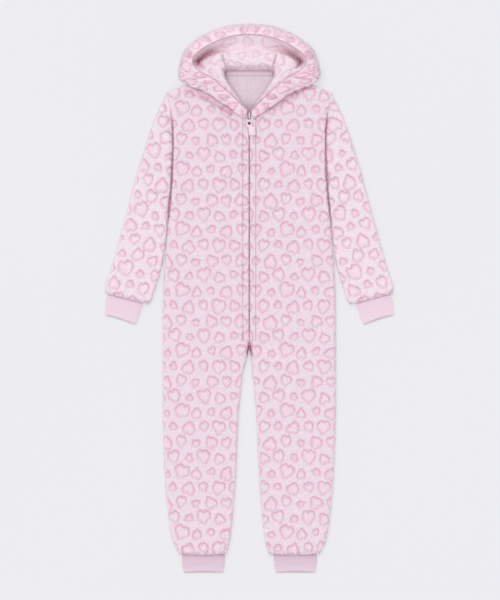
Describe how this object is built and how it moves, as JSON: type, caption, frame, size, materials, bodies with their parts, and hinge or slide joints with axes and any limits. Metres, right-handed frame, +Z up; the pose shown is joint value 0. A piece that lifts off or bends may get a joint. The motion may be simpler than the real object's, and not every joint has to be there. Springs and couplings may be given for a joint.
{
  "type": "hooded onesie pajama",
  "caption": "Child's hooded onesie pajama in plush fleece with carved hearts, a front zip and rib cuffs, laid flat.",
  "frame": {"origin": "on the surface that the garment lies on, under the centre of its outline", "axes": "+Z up from the surface, through the back panel to the front; +Y from the legs to the hood; +X to the right seen from above"},
  "size_m": [0.623, 1.1788, 0.0511],
  "materials": {
    "plush_fleece": "soft cut-pile plush with carved heart outlines",
    "lining_fleece": "soft pile, paler, with faint hearts",
    "rib_knit": "fine smooth rib knit",
    "zip_tape": "woven tape with a coil chain",
    "slider_enamel": "glossy enamel on die-cast metal",
    "pull_enamel": "glossy enamel on die-cast metal"
  },
  "bodies": {
    "garment": {"front_left": "plush_fleece", "front_right": "plush_fleece", "back_left": "plush_fleece", "back_right": "plush_fleece", "sleeve_left": "plush_fleece", "sleeve_right": "plush_fleece", "hood_left": "plush_fleece", "hood_right": "plush_fleece", "hood_lining_left": "lining_fleece", "hood_lining_right": "lining_fleece", "sleeve_cuff_left": "rib_knit", "sleeve_cuff_right": "rib_knit", "leg_cuff_left": "rib_knit", "leg_cuff_right": "rib_knit", "neck_tape": "zip_tape", "zip": "zip_tape", "slider": "slider_enamel"},
    "pull": {"pull_tab": "pull_enamel"}
  },
  "joints": [
    {"name": "pull_hinge", "type": "hinge", "parent": "garment", "child": "pull", "pos_m": [0, 0.3812, 0.0177], "axis": [-1, 0, 0], "range_deg": [0, 140]}
  ]
}
